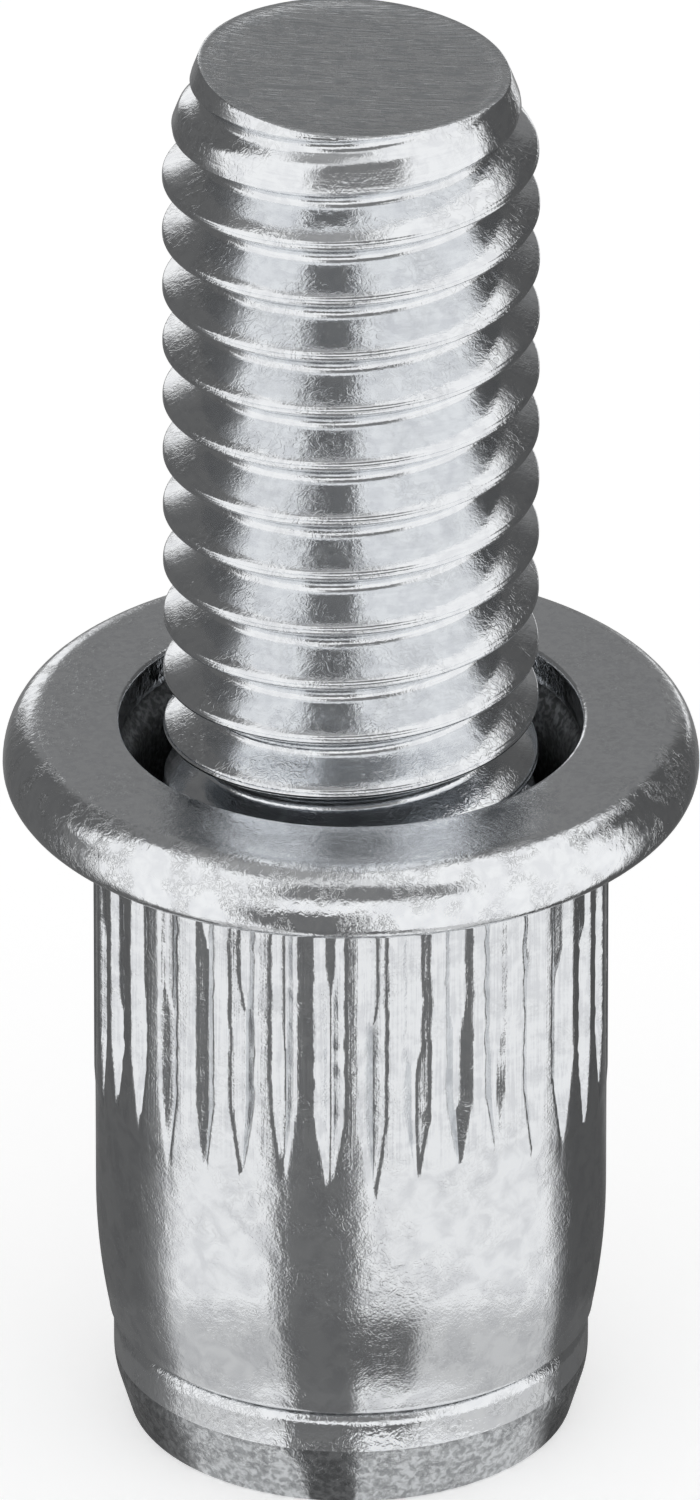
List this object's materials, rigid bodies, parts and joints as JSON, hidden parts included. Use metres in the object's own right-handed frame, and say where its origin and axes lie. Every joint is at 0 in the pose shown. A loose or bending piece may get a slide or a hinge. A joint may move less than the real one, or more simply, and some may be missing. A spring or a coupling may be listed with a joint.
{
  "type": "rivet stud",
  "caption": "Threaded rivet stud with a knurled, flanged sleeve seated on its round head.",
  "frame": {"origin": "centre of the flat underside of the stud's head, the lowest point of the part", "axes": "+Z along the thread, from the head towards the cropped end; -Y is the side that the picture shows; +X is the side towards which the cropped end leans"},
  "size_m": [0.0092, 0.0092, 0.0198],
  "materials": {
    "zinc_plated_steel": "bright zinc plating, finely mottled, over cold-formed steel"
  },
  "bodies": {
    "root": {"sleeve": "zinc_plated_steel", "stud": "zinc_plated_steel"}
  },
  "joints": []
}
